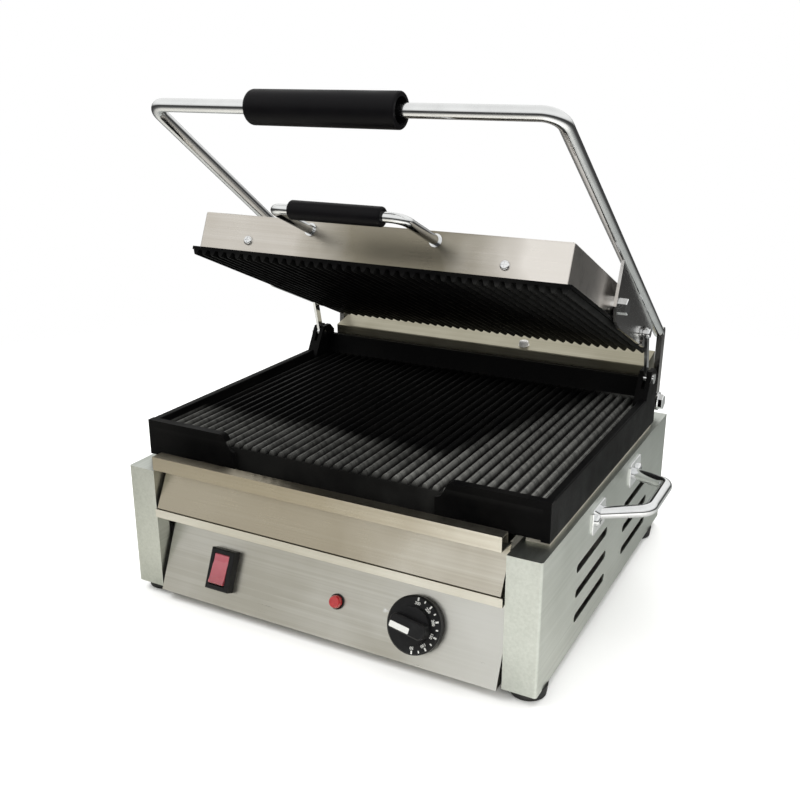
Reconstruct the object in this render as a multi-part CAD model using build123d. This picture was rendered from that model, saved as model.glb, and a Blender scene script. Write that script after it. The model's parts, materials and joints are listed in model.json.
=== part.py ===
from build123d import *
from math import atan2, cos, degrees, hypot, radians, sin
import os

# Contact grill (panini press). Millimetres, +X to the right, +Y to the back, +Z up.
# Shapes are drawn with Y = 0 at the front of the side panels, then moved back by ORIGIN_Y,
# so that the origin lies on the ground under the middle of the whole object.
ORIGIN_Y = 199.45

# Body
BODY_X = 215.0        # half width over the side panels
BODY_D = 400.0        # depth
BODY_Z0 = 10.0        # underside, on 10 mm feet
BODY_Z1 = 136.0       # top flanges
SHEET = 1.2           # stainless sheet
STRIP = 31.0          # width of the front strips and top flanges
FRONT_X = 181.0       # half width of the panel and tray between the strips
FOOT_R = 17.0

# Control panel: leans back from its bottom edge, seen from the side
PANEL_TOP = (28.0, 86.8)
PANEL_BOTTOM = (-5.0, 10.0)
CONTROL_Z = 43.0      # height of the row of controls
SWITCH_X = -111.0
LAMP_X = 17.0
KNOB_X = 99.5

# Drip tray and its shelf
SHELF_Z = 97.0
TRAY_Z = 98.0
TRAY_X = 172.0
TRAY_BACK = 300.0
TRAY_WALL_Z = 128.0

# Lower plate
PLATE_X = 210.5
PLATE_Y0 = 27.0
PLATE_Y1 = 357.0
PLATE_Z0 = 140.0
RIM_Z = 176.0
RIM = 8.0
FLOOR_Z = 163.5       # valleys between the ribs
RIB_H = 5.0
RIB_PITCH = 10.0
LIP_X = 115.0         # where the front rim drops to the open middle
LIP_PROUD = 3.0        # raised corners stand out from the open middle
LUG_X = 197.0         # inner face of the link lugs
SPLASH_Z = 190.0      # top of the rear splash wall

# Hinge: points in the side view (Y, Z), with the lever fully open
PIVOT = (388.0, 153.5)          # lever pivot
HANG = (238.0, 292.0)           # platen pivot, on the lever
HANG_CLOSED = (187.5, 192.0)
OPEN_TILT = 23.5                # tilt of the open platen, degrees
STUD = (96.0, -8.0)             # link stud on the platen, from the platen pivot, platen level
LINK_PIN = (335.2, 195.0)       # link pivot on the lower plate
SHAFT_R = 6.0
RUN = 0.05                      # radial running clearance

# Lever
TUBE_R = 6.0
ELBOW = (200.0, 392.0, 231.0)
SHOULDER = (194.0, 48.5, 474.6)
SHOULDER_BEND = 16.0
BAR_X0 = 199.5                  # lever uprights, inner and outer face
BAR_X1 = 205.5
HANGER_X0 = 196.5
HANGER_X1 = 199.5
GRIP_R = 15.0
GRIP_X = (-83.5, 62.5)

# Platen, drawn level about its pivot: X across, Y back, Z up
TOP_X = 195.0
TOP_Y0 = -151.0
TOP_Y1 = 149.0
CREST = -21.8                   # rib crests below the pivot
FLANGE_T = 3.3
HOUSE_X = 190.0
HOUSE_IN = 3.8                  # housing inset from the plate edge
HOUSE_Z1 = 22.5
HOUSE_SCREW_X = 133.0
HOUSE_SCREW_Z = -2.3
BAIL_X = 65.0
BAIL_Z = 13.5
BAIL_OUT = 69.0
BAIL_R = 4.5

# Links
LINK_X0 = 202.2
LINK_X1 = 205.2

# Side handles
HANDLE_FEET = (152.0, 262.0)
HANDLE_Z = 116.0
HANDLE_OUT = (256.0, 120.0)
HANDLE_OUT_Y = (172.0, 240.0)
HANDLE_R = 6.0
HANDLE_SCREWS = (137.0, 277.0)
ESCUTCHEON_T = 2.0

# Controls
SWITCH_BODY = (22.0, 36.0)
SWITCH_OUT = 10.0
ROCKER = (17.0, 29.0)
ROCKER_TILT = 7.0
ROCKER_PIVOT_OUT = 4.0
KNOB_R = 26.0
KNOB_TURN = -9.0
GLAND = (150.0, 40.0)
REAR_SCREW_Z = (28, 72, 116)

# Hinge cover and springs
COVER_X = 196.0
COVER_Y0 = 362.0
COVER_Z = 199.5                 # front edge of the cover's sloping top
COVER_RISE = 8.5
COVER_RIVET = (51.0, 372.0)
SPRING_X = (100.0, 170.0)
SPRING_R = 7.9
SPRING_WIRE_R = 1.5

# Heating elements: places of the straight runs, and the clamp screws over them
LOWER_RUNS = (65, 127.5, 190, 252.5, 315)
UPPER_RUNS = (-110, -55, 0, 55, 110)
BULB = (96.0, 151.5)
CLAMP_X = (-110, 0, 110)
LOWER_CLAMP_Y = (85, 290)
UPPER_CLAMP_Y = (-82.5, 82.5)

LEVER_TRAVEL = degrees(atan2(HANG[1] - PIVOT[1], PIVOT[0] - HANG[0])
                       - atan2(HANG_CLOSED[1] - PIVOT[1], PIVOT[0] - HANG_CLOSED[0]))
PANEL_TILT = degrees(atan2(PANEL_TOP[0] - PANEL_BOTTOM[0], PANEL_TOP[1] - PANEL_BOTTOM[1]))
HOUSE_Y0 = TOP_Y0 + HOUSE_IN
HOUSE_Y1 = TOP_Y1 - HOUSE_IN
FLANGE_Z = CREST + RIB_H + FLANGE_T


# ---------------------------------------------------------------- helpers

def block(x, y, z):
    """Box between two limits on each axis."""
    size = [b - a for a, b in (x, y, z)]
    return Pos((x[0] + x[1]) / 2, (y[0] + y[1]) / 2, (z[0] + z[1]) / 2) * Box(*size)


def rod_x(x0, x1, y, z, r):
    """Cylinder along X."""
    return Pos((x0 + x1) / 2, y, z) * Rot(0, 90, 0) * Cylinder(r, abs(x1 - x0))


def rod_y(x, y0, y1, z, r):
    """Cylinder along Y."""
    return Pos(x, (y0 + y1) / 2, z) * Rot(90, 0, 0) * Cylinder(r, abs(y1 - y0))


def rod_z(x, y, z0, z1, r):
    """Cylinder along Z."""
    return Pos(x, y, (z0 + z1) / 2) * Cylinder(r, abs(z1 - z0))


def side_plate(points, x0, x1):
    """Side view outline (Y, Z) given a thickness along X."""
    face = Plane.YZ.offset(x0) * make_face(Polyline(points, close=True))
    return extrude(face, x1 - x0, dir=(1, 0, 0))


def sheet_outline(path, t):
    """Outline of a sheet of thickness t bent along path, on the path's left side."""
    inner = []
    last = len(path) - 1
    for i, (y, z) in enumerate(path):
        turns = []
        for a, b in ((i - 1, i), (i, i + 1)):
            if a < 0 or b > last:
                continue
            dy, dz = path[b][0] - path[a][0], path[b][1] - path[a][1]
            run = hypot(dy, dz)
            turns.append((-dz / run, dy / run))
        ny, nz = turns[0]
        if len(turns) == 2:
            my, mz = turns[0][0] + turns[1][0], turns[0][1] + turns[1][1]
            scale = 2 / (my * my + mz * mz)
            ny, nz = my * scale, mz * scale
        inner.append((y + ny * t, z + nz * t))
    return list(path) + inner[::-1]


def mirrored(shape):
    """The shape and its mirror image across the middle plane."""
    return shape + mirror(shape, Plane.YZ)


def tube_along(points, bend, r):
    """Round rod bent along the points with equal bends."""
    path = FilletPolyline(*points, radius=bend)
    start = Plane(origin=path @ 0, z_dir=path % 0)
    return sweep(start * Circle(r), path=path)


def ribs(x_half, y, z_valley, z_back, up):
    """Ribbed slab: rounded ridges along Y at RIB_PITCH; up is 1 for ridges on top, -1 below."""
    count = int(2 * x_half // RIB_PITCH)
    outline = [(-x_half, z_back), (-x_half, z_valley)]
    crest = z_valley + up * RIB_H
    shoulder = z_valley + up * RIB_H * 0.72
    for i in range(count):
        x = (i - (count - 1) / 2) * RIB_PITCH
        outline += [(x - 3.4, z_valley), (x - 1.9, shoulder), (x - 0.9, crest)]
        outline += [(x + 0.9, crest), (x + 1.9, shoulder), (x + 3.4, z_valley)]
    outline += [(x_half, z_valley), (x_half, z_back)]
    face = Plane.XZ.offset(-y[0]) * make_face(Polyline(outline, close=True))
    return extrude(face, y[1] - y[0], dir=(0, 1, 0))


def on_panel(x, out=0.0, up=0.0):
    """Place on the control panel's face: local X across, Y up the slope, Z straight out."""
    lean = radians(PANEL_TILT)
    z = CONTROL_Z
    y = PANEL_BOTTOM[0] + (z - PANEL_BOTTOM[1]) * (PANEL_TOP[0] - PANEL_BOTTOM[0]) / (
        PANEL_TOP[1] - PANEL_BOTTOM[1])
    y += up * sin(lean) - out * cos(lean)
    z += up * cos(lean) + out * sin(lean)
    return Pos(x, y, z) * Rot(90 - PANEL_TILT, 0, 0)


def on_platen(shape):
    """Move a platen piece from its level drawing place to the open lever."""
    return Pos(0, *HANG) * Rot(-OPEN_TILT, 0, 0) * shape


def hex_nut(flats, height):
    """Hexagon prism with a light chamfer, standing on Z = 0."""
    nut = extrude(RegularPolygon(flats / 2, 6, major_radius=False), height)
    return chamfer(nut.faces().sort_by(Axis.Z)[-1].edges(), flats * 0.05)


def dome_screw(r, height, shank_r, shank):
    """Domed head standing on Z = 0 with its shank below, and a cross recess."""
    head = Cylinder(r, height, align=(Align.CENTER, Align.CENTER, Align.MIN))
    head = fillet(head.faces().sort_by(Axis.Z)[-1].edges(), height * 0.75)
    for turn in (0, 90):
        head -= Pos(0, 0, height) * Rot(0, 0, turn) * Box(r * 1.1, r * 0.22, height * 0.8)
    return head + Pos(0, 0, -shank / 2) * Cylinder(shank_r, shank)


# ---------------------------------------------------------------- body

def side_panel():
    """Right side panel: wall, front strip, top, bottom and rear flanges, vent slots."""
    x1 = BODY_X
    wall = block((x1 - SHEET, x1), (0, BODY_D), (BODY_Z0, BODY_Z1))
    panel = wall + block((x1 - STRIP, x1), (0, SHEET), (BODY_Z0, BODY_Z1))
    panel += block((x1 - STRIP, x1 - STRIP + SHEET), (0, 16), (BODY_Z0, BODY_Z1))
    panel += block((x1 - STRIP, x1), (0, BODY_D), (BODY_Z1 - SHEET, BODY_Z1))
    panel += block((x1 - STRIP, x1), (0, BODY_D), (BODY_Z0, BODY_Z0 + SHEET))
    panel += block((x1 - 14, x1), (BODY_D - SHEET, BODY_D), (BODY_Z0, BODY_Z1))
    panel = fillet(panel.edges().filter_by(Axis.Z).group_by(Axis.Y)[0].sort_by(Axis.X)[-1:], 2.4)
    for y in (137.5, 286):
        for z in (36, 61, 86):
            slot = Plane.YZ.offset(x1 - 5) * Pos(y, z) * SlotOverall(91, 8.5)
            panel -= extrude(slot, 10, dir=(1, 0, 0))
    for y in HANDLE_FEET:
        panel -= rod_x(x1 - 5, x1 + 5, y, HANDLE_Z, 3)
    for y in HANDLE_SCREWS:
        panel -= rod_x(x1 - 5, x1 + 5, y, HANDLE_Z, 2)
    for x, y in foot_places():
        panel -= rod_z(x, y, 5, 20, 2.5)
    for z in REAR_SCREW_Z:
        panel -= rod_y(x1 - 7, BODY_D - 5, BODY_D + 5, z, 1.8)
    return panel


def base_pan():
    """Bottom sheet with rows of vent slots and the foot holes."""
    pan = block((-BODY_X + SHEET, BODY_X - SHEET), (26, BODY_D - 2.6), (BODY_Z0 + SHEET, BODY_Z0 + 2 * SHEET))
    for x in range(-120, 121, 40):
        pan -= Pos(x, 210, BODY_Z0) * extrude(SlotOverall(90, 6, rotation=90), 8)
    for x, y in foot_places():
        pan -= rod_z(x, y, 5, 20, 3)
    return pan


def rear_panel():
    """Back sheet with vent slots and the cable gland hole."""
    y1 = BODY_D - SHEET
    panel = block((-BODY_X + SHEET, BODY_X - SHEET), (y1 - SHEET, y1), (BODY_Z0 + 2 * SHEET, BODY_Z1 - SHEET))
    panel += block((-BODY_X + STRIP, BODY_X - STRIP), (y1 - 26, y1), (BODY_Z1 - SHEET, BODY_Z1))
    for x in range(-120, 81, 40):
        for z in (70, 84, 98):
            slot = Plane.XZ.offset(-y1 - 5) * Pos(x, z) * SlotOverall(30, 5)
            panel -= extrude(slot, 12, dir=(0, -1, 0))
    for z in REAR_SCREW_Z:
        panel -= mirrored(rod_y(BODY_X - 7, y1 - 5, y1 + 5, z, 1.8))
    return panel - rod_y(GLAND[0], y1 - 5, y1 + 5, GLAND[1], 8)


def control_panel():
    """Sloping front sheet with its flanges and the holes for the controls."""
    path = [(46, PANEL_TOP[1]), PANEL_TOP, PANEL_BOTTOM, (26, PANEL_BOTTOM[1])]
    panel = side_plate(sheet_outline(path, SHEET), -FRONT_X, FRONT_X)
    panel -= on_panel(SWITCH_X) * Box(SWITCH_BODY[0], SWITCH_BODY[1], 10)
    panel -= on_panel(LAMP_X) * Cylinder(5, 10)
    panel -= on_panel(KNOB_X) * Cylinder(5, 10)
    return panel


def tray_shelf():
    """Shelf under the drip tray with a hemmed front edge, and its rear stop."""
    path = [(TRAY_BACK + 30, SHELF_Z), (-3, SHELF_Z), (-3, 88.6), (46, 88.0)]
    shelf = side_plate(sheet_outline(path, SHEET), -FRONT_X - 2, FRONT_X + 2)
    stop_y = TRAY_BACK + 3
    shelf += block((-FRONT_X, FRONT_X), (stop_y, stop_y + SHEET), (SHELF_Z - 0.5, SHELF_Z + 15))
    return shelf


def foot_places():
    """The four corners where the feet are screwed on."""
    return [(sx * (BODY_X - 15), y) for sx in (-1, 1) for y in (22, BODY_D - 38)]


def feet():
    """Rubber feet: tapered discs with a screw recess."""
    foot = Cone(FOOT_R - 1.2, FOOT_R, BODY_Z0, align=(Align.CENTER, Align.CENTER, Align.MIN))
    foot = fillet(foot.faces().sort_by(Axis.Z)[0].edges(), 1.2)
    foot -= Cylinder(5.5, 5, align=(Align.CENTER, Align.CENTER, Align.MIN))
    foot -= Cylinder(2.5, 30)
    return Compound([Pos(x, y, 0) * foot for x, y in foot_places()])


def foot_screws():
    """Screws up through the feet into nuts on the base pan."""
    top = BODY_Z0 + 2 * SHEET
    screws = []
    for x, y in foot_places():
        screw = rod_z(x, y, 2.2, 5, 4.5) + rod_z(x, y, 5, top + 6, 2.5)
        screws.append(screw + Pos(x, y, top) * hex_nut(8, 4))
    return Compound(screws)


def body_screws():
    """Domed screws that hold the rear panel to the side panels."""
    screw = dome_screw(4, 2.4, 1.8, 6)
    return Compound([Pos(sx * (BODY_X - 7), BODY_D, z) * Rot(-90, 0, 0) * screw
                     for sx in (-1, 1) for z in REAR_SCREW_Z])


# ---------------------------------------------------------------- side handles

def side_handle():
    """Right carrying handle: a bent rod that stands out and slightly up."""
    x0 = BODY_X + ESCUTCHEON_T
    x1, z1 = HANDLE_OUT
    y0, y1 = HANDLE_FEET
    corners = [(x0 - 5, y0, HANDLE_Z), (x1, HANDLE_OUT_Y[0], z1), (x1, HANDLE_OUT_Y[1], z1)]
    corners.append((x0 - 5, y1, HANDLE_Z))
    rod = tube_along(corners, 14, HANDLE_R)
    return rod - block((x0 - 20, x0), (y0 - 20, y1 + 20), (HANDLE_Z - 20, HANDLE_Z + 20))


def escutcheons():
    """Chrome plates under the handle feet, each longer on the side of its screw."""
    plates = []
    for foot, screw in zip(HANDLE_FEET, HANDLE_SCREWS):
        away = 1 if screw > foot else -1
        y0, y1 = sorted((screw + away * 10, foot - away * 13))
        plate = block((BODY_X, BODY_X + ESCUTCHEON_T), (y0, y1), (HANDLE_Z - 13, HANDLE_Z + 13))
        plate = fillet(plate.edges().filter_by(Axis.X), 4)
        plate = chamfer(plate.faces().sort_by(Axis.X)[-1].edges(), 0.6)
        plate -= rod_x(BODY_X - 5, BODY_X + 9, foot, HANDLE_Z, 3)
        plates.append(plate - rod_x(BODY_X - 5, BODY_X + 9, screw, HANDLE_Z, 2))
    return Compound([*plates, *[mirror(p, Plane.YZ) for p in plates]])


def handle_screws():
    """Domed screws through the plates, with nuts inside the panels."""
    x = BODY_X + ESCUTCHEON_T
    screws = []
    for sx in (-1, 1):
        for y in HANDLE_SCREWS:
            screw = Pos(sx * x, y, HANDLE_Z) * Rot(0, sx * 90, 0) * dome_screw(5.5, 3.6, 2, 10)
            nut = Pos(sx * (BODY_X - SHEET), y, HANDLE_Z) * Rot(0, -sx * 90, 0) * hex_nut(7, 3)
            screws.append(screw + nut)
    return Compound(screws)


def handle_nuts():
    """Studs and flange nuts that hold the handles from inside the panels."""
    nuts = []
    for sx in (-1, 1):
        for y in HANDLE_FEET:
            stud = rod_x(sx * (BODY_X - 12), sx * (BODY_X + ESCUTCHEON_T), y, HANDLE_Z, 3)
            nut = Pos(sx * (BODY_X - SHEET), y, HANDLE_Z) * Rot(0, -sx * 90, 0) * hex_nut(10, 5)
            nuts.append(nut + stud)
    return Compound(nuts)


# ---------------------------------------------------------------- controls

def switch_housing():
    """Black frame that stands out from the panel, hollow for the rocker, with its body behind."""
    frame = on_panel(SWITCH_X, SWITCH_OUT / 2) * Box(27, 40, SWITCH_OUT)
    frame = chamfer(frame.faces().sort_by(Axis((0, 0, 0), panel_normal()))[-1].edges(), 1.2)
    frame += on_panel(SWITCH_X, -11) * Box(SWITCH_BODY[0], SWITCH_BODY[1], 22)
    well = on_panel(SWITCH_X, 3) * Box(ROCKER[0] + 0.8, ROCKER[1] + 1.8, 18)
    lugs = [on_panel(SWITCH_X + x, -24) * Box(0.8, 6.3, 8) for x in (-6, 6)]
    return frame - well + lugs[0] + lugs[1]


def panel_normal():
    """Unit vector straight out of the control panel."""
    lean = radians(PANEL_TILT)
    return (0, -cos(lean), sin(lean))


def switch_rocker():
    """Rocker with two dished faces, tipped to its off side."""
    half = ROCKER[1] / 2
    outline = [(-half + 3.5, -4.5), (-half, 6), (-half + 1, 7.2), (-half / 2, 6.2), (0, 6.6)]
    outline += [(half / 2, 6.2), (half - 1, 7.2), (half, 6), (half - 3.5, -4.5)]
    body = side_plate(outline, -ROCKER[0] / 2, ROCKER[0] / 2)
    return on_panel(SWITCH_X, ROCKER_PIVOT_OUT) * Rot(-ROCKER_TILT, 0, 0) * body


def pilot_lamp_body():
    """Lamp holder: flange on the panel and barrel behind it."""
    ring = on_panel(LAMP_X, 0.75) * Cylinder(7.2, 1.5)
    ring += on_panel(LAMP_X, -10) * Cylinder(4.9, 20)
    return ring - on_panel(LAMP_X, 0) * Cylinder(4.0, 12)


def pilot_lens():
    """Domed red lens in the lamp holder."""
    lens = Cylinder(6, 2, align=(Align.CENTER, Align.CENTER, Align.MIN)) + Pos(0, 0, 2) * (
        Sphere(6) & Pos(0, 0, 1.6) * Box(20, 20, 3.2))
    stem = Pos(0, 0, -3) * Cylinder(3.9, 6)
    return on_panel(LAMP_X, 1.5) * (lens + stem)


def thermostat_body():
    """Thermostat case behind the panel, with its fixing bridge."""
    case = on_panel(KNOB_X, -SHEET - 14) * Box(36, 40, 24)
    case += on_panel(KNOB_X, -SHEET - 1) * Box(40, 18, 2)
    for x in (-10, 10):
        case += on_panel(KNOB_X + x, -SHEET - 29) * Box(0.8, 6.3, 8)
    return case - on_panel(KNOB_X, -SHEET - 8) * Cylinder(3 + RUN, 20)


def thermostat_spindle():
    """Spindle that the knob turns."""
    return on_panel(KNOB_X, 1.5) * Cylinder(3, 33)


def knob():
    """Round skirt with a raised grip bar."""
    skirt = Cylinder(KNOB_R, 8, align=(Align.CENTER, Align.CENTER, Align.MIN))
    skirt = chamfer(skirt.faces().sort_by(Axis.Z)[-1].edges(), 1.6)
    hub = Pos(0, 0, 8) * Cylinder(16.5, 4, align=(Align.CENTER, Align.CENTER, Align.MIN))
    bar = Pos(0, 0, 8 + 7) * Box(2 * 17.5, 14, 14)
    bar = fillet(bar.edges().filter_by(Axis.Z), 5)
    bar = chamfer(bar.faces().sort_by(Axis.Z)[-1].edges(), 1.2)
    body = skirt + hub + bar - Pos(0, 0, 8) * Cylinder(3, 20)
    return on_panel(KNOB_X, 1.5) * Rot(0, 0, KNOB_TURN) * body


def thermostat_bulb():
    """Sensing bulb under the lower plate, with the start of its capillary."""
    y, z = BULB
    bulb = rod_x(-40, 40, y, z, 3)
    path = FilletPolyline((40, y, z), (60, y, z), (60, y, PLATE_Z0 - 3), radius=8)
    return bulb + sweep(Plane(origin=path @ 0, z_dir=path % 0) * Circle(0.9), path=path)


def terminal_block():
    """Ceramic terminal block on the base pan."""
    z0 = BODY_Z0 + 2 * SHEET
    body = block((110, 170), (300, 324), (z0, z0 + 20))
    for i in range(4):
        x = 117.5 + 15 * i
        body -= rod_y(x, 295, 330, z0 + 8, 2.5)
        body -= rod_z(x, 306, z0 + 8, z0 + 25, 2.2)
        body -= rod_z(x, 318, z0 + 8, z0 + 25, 2.2)
    return body


def cable_gland():
    """Cable gland on the rear panel: hexagon, dome and lock nut, bored for the cable."""
    y = BODY_D - SHEET
    gland = Pos(GLAND[0], y, GLAND[1]) * Rot(-90, 0, 0) * hex_nut(22, 6)
    dome = Cone(9.5, 6.5, 9, align=(Align.CENTER, Align.CENTER, Align.MIN))
    gland += Pos(GLAND[0], y + 6, GLAND[1]) * Rot(-90, 0, 0) * dome
    gland += rod_y(GLAND[0], y - 10, y, GLAND[1], 8)
    gland += Pos(GLAND[0], y - SHEET, GLAND[1]) * Rot(90, 0, 0) * hex_nut(22, 4)
    return gland - rod_y(GLAND[0], y - 20, y + 30, GLAND[1], 4)


# ---------------------------------------------------------------- drip tray

def drip_tray():
    """Tray with a hooked lip, a sloping front and a shallow pan behind it."""
    path = [(9.5, 142.5), (9.5, 152.5), (-3.5, 152.5), (-3.5, 139), (18, 137), (-2, TRAY_Z)]
    path.append((TRAY_BACK, TRAY_Z))
    tray = side_plate(sheet_outline(path, SHEET), -TRAY_X, TRAY_X)
    tray += side_plate(sheet_outline(path[:6], SHEET), -FRONT_X, FRONT_X)
    wall = [(0, TRAY_Z), (15, TRAY_WALL_Z), (TRAY_BACK, TRAY_WALL_Z), (TRAY_BACK, TRAY_Z)]
    for sx in (-1, 1):
        x0, x1 = sorted((sx * TRAY_X, sx * (TRAY_X - SHEET)))
        tray += side_plate(wall, x0, x1)
    tray += block((-TRAY_X, TRAY_X), (TRAY_BACK - SHEET, TRAY_BACK), (TRAY_Z, TRAY_WALL_Z))
    return tray


# ---------------------------------------------------------------- lower plate

def lip_corner():
    """Raised right front corner of the rim with its S-shaped drop."""
    z_low = FLOOR_Z - 3.5
    drop = 9.0
    x0, z0 = LIP_X - drop, PLATE_Z0 + 2
    line = Polyline((x0, z_low), (x0, z0), (PLATE_X, z0), (PLATE_X, RIM_Z))
    top = Line((PLATE_X, RIM_Z), (LIP_X + drop, RIM_Z))
    curve = Spline((LIP_X + drop, RIM_Z), (x0, z_low), tangents=[(-1, 0), (-1, 0)])
    face = Plane.XZ.offset(-PLATE_Y0) * make_face(line + top + curve)
    return extrude(face, RIM, dir=(0, 1, 0))


def lower_plate():
    """Cast-iron plate: ribbed floor, rim open at the front middle, rear splash wall, link lugs."""
    inner_x = PLATE_X - RIM
    wall_y = PLATE_Y1 - 11
    middle_y = PLATE_Y0 + LIP_PROUD
    plate = ribs(inner_x, (middle_y, wall_y), FLOOR_Z, FLOOR_Z - 8.5, 1)
    side = block((inner_x, PLATE_X), (PLATE_Y0, PLATE_Y1), (PLATE_Z0, RIM_Z))
    side = fillet(side.faces().sort_by(Axis.Z)[-1].edges(), 1.5)
    plate += mirrored(side)
    plate += mirrored(lip_corner())
    plate += block((-inner_x, inner_x), (middle_y, PLATE_Y0 + RIM), (PLATE_Z0, FLOOR_Z - 2))
    splash = [(wall_y, PLATE_Z0), (wall_y, 168), (wall_y + 4.5, SPLASH_Z)]
    splash += [(PLATE_Y1 - 0.5, SPLASH_Z), (PLATE_Y1, PLATE_Z0)]
    plate += side_plate(splash, -inner_x, inner_x)
    plate += mirrored(link_lug())
    plate = plate - block((-inner_x, inner_x), (PLATE_Y0 + RIM, wall_y), (PLATE_Z0, PLATE_Z0 + SHEET))
    for x, y in clamp_places():
        plate += rod_z(x, y, 147, FLOOR_Z - 4, 6)
        plate -= rod_z(x, y, 146, FLOOR_Z - 6, 2.5)
    return plate


def link_lug():
    """Rear corner lug, slotted for the link, with the pin hole across it."""
    y, z = LINK_PIN
    top = z + 8
    outline = [(y - 22, PLATE_Z0), (y - 22, RIM_Z - 6), (y - 6, z + 3), (y - 3, top), (y + 12, top)]
    outline += [(PLATE_Y1 - 1, z), (PLATE_Y1, PLATE_Z0)]
    lug = side_plate(outline, LUG_X, PLATE_X)
    lug -= block((LINK_X0 - 0.4, LINK_X1 + 0.4), (y - 40, PLATE_Y1 + 5), (z - 9, top + 5))
    return lug - rod_x(LUG_X - 5, PLATE_X + 5, y, z, 3)


def clamp_places():
    """Bosses for the element clamp screws."""
    return [(x, y) for x in CLAMP_X for y in LOWER_CLAMP_Y]


def plate_gaskets():
    """Fibre strips between the body flanges and the plate."""
    strips = [block((sx * 198.5 - 10.5, sx * 198.5 + 10.5), (32, 352), (BODY_Z1, PLATE_Z0)) for sx in (-1, 1)]
    return Compound(strips)


def element_path(x, ys, z):
    """Serpentine of straight runs along X joined by half turns."""
    edges = []
    sx = -1
    for i, y in enumerate(ys):
        edges.append(Line((sx * x, y, z), (-sx * x, y, z)))
        sx = -sx
        if i < len(ys) - 1:
            bend = (ys[i + 1] - y) / 2
            side = sx * x
            edges.append(ThreePointArc((side, y, z), (side + sx * bend, y + bend, z), (side, ys[i + 1], z)))
    return Wire(edges)


def element(x, ys, z):
    """Tubular heating element, 8 mm thick."""
    path = element_path(x, ys, z)
    return sweep(Plane(origin=path @ 0, z_dir=path % 0) * Circle(4), path=path)


def lower_element():
    """Heating element against the underside of the lower plate."""
    return element(150, LOWER_RUNS, 151)


def lower_clamps():
    """Flat bars that press the element against the plate, with their screws."""
    bars = []
    for x in CLAMP_X:
        bar = block((x - 8, x + 8), (50, 330), (144, 147))
        for y in LOWER_CLAMP_Y:
            bar += rod_z(x, y, 147, FLOOR_Z - 6, 2.4) + rod_z(x, y, 141.6, 144, 4.5)
        bars.append(bar)
    return Compound(bars)


def heat_shield():
    """Sheet that closes the underside of the lower plate."""
    inner_x = PLATE_X - RIM
    sheet = block((-inner_x, inner_x), (PLATE_Y0 + RIM, PLATE_Y1 - 11), (PLATE_Z0, PLATE_Z0 + SHEET))
    return sheet - rod_z(60, BULB[0], PLATE_Z0 - 5, PLATE_Z0 + 5, 2)


# ---------------------------------------------------------------- hinge

def hinge_cover():
    """Folded stainless cover over the hinge shaft and springs, with end walls and a domed rivet on top."""
    y0, y1 = COVER_Y0, BODY_D - SHEET
    slope = COVER_RISE / (y1 - y0)
    outer = [(y0, BODY_Z1), (y1, BODY_Z1), (y1, COVER_Z + COVER_RISE), (y0, COVER_Z)]
    cover = side_plate(outer, -COVER_X, COVER_X)
    inner_x = COVER_X - SHEET
    rear = COVER_Z + COVER_RISE - SHEET * (1 + slope)
    inner = [(y0 + SHEET, BODY_Z1), (y1 - SHEET, BODY_Z1), (y1 - SHEET, rear),
             (y0 + SHEET, COVER_Z - SHEET * (1 - slope))]
    cover -= side_plate(inner, -inner_x, inner_x)
    cover -= rod_x(-COVER_X - 5, COVER_X + 5, *PIVOT, SHAFT_R + 1)
    long = [e for e in cover.edges().filter_by(Axis.X) if e.length > 2 * inner_x + 1]
    folds = [e for e in long if e.center().Z > COVER_Z - 1]
    rivet = rod_z(*COVER_RIVET, COVER_Z + 0.6, COVER_Z + 8, 5.5)
    return fillet(folds, 1.0) + fillet(rivet.edges().group_by(Axis.Z)[-1], 2.5)


def hinge_brackets():
    """Bearing plates on the rear flanges that carry the shaft."""
    y, z = PIVOT
    plate = side_plate([(y - 18, BODY_Z1), (y - 10, z + 12), (y + 8, z + 12), (y + 9, BODY_Z1)], 186, 192)
    plate += block((186, 194), (y - 20, y + 9), (BODY_Z1, BODY_Z1 + 4))
    plate -= rod_x(180, 200, y, z, SHAFT_R)
    return Compound([plate, mirror(plate, Plane.YZ)])


def hinge_shaft():
    """Shaft across the hinge, fixed in the brackets."""
    return rod_x(-BAR_X1 - 0.4, BAR_X1 + 0.4, *PIVOT, SHAFT_R)


def hinge_bolts():
    """Chrome bolt heads and washers on the shaft ends, outside the uprights."""
    bolts = []
    x = BAR_X1 + 0.4
    for sx in (-1, 1):
        washer = rod_x(sx * x, sx * (x + 1.5), *PIVOT, 10.5)
        bolts.append(washer + Pos(sx * (x + 1.5), *PIVOT) * Rot(0, sx * 90, 0) * hex_nut(15, 5.5))
    return Compound(bolts)


def counter_springs():
    """Torsion springs on the shaft that balance the lever."""
    turns = 11
    pitch = (SPRING_X[1] - SPRING_X[0]) / turns
    coil = Helix(pitch, pitch, SPRING_R)
    turn = sweep(Plane(origin=coil @ 0, z_dir=coil % 0) * Circle(SPRING_WIRE_R), path=coil, is_frenet=True)
    wire = turn
    for i in range(1, turns):
        wire += Pos(0, 0, i * pitch) * turn
    placed = [Pos(sx * SPRING_X[0], *PIVOT) * Rot(0, sx * 90, 0) * wire for sx in (-1, 1)]
    return Compound(placed)


def spring_collars():
    """Collars that hold the fixed ends of the springs, each with its set screw."""
    collars = []
    for sx in (-1, 1):
        x0 = SPRING_X[0] - 3
        collar = rod_x(sx * x0, sx * (x0 - 12), *PIVOT, 9.2)
        collar -= rod_x(sx * (x0 + 1), sx * (x0 - 13), *PIVOT, SHAFT_R)
        collars.append(collar + rod_z(sx * (x0 - 6), PIVOT[0], PIVOT[1] + 8, PIVOT[1] + 12, 3))
    return Compound(collars)


# ---------------------------------------------------------------- lever

def arm_point(y):
    """Point of the lever arm's centre line at this Y, right side."""
    s = (ELBOW[1] - y) / (ELBOW[1] - SHOULDER[1])
    return tuple(e + s * (t - e) for e, t in zip(ELBOW, SHOULDER))


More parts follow.
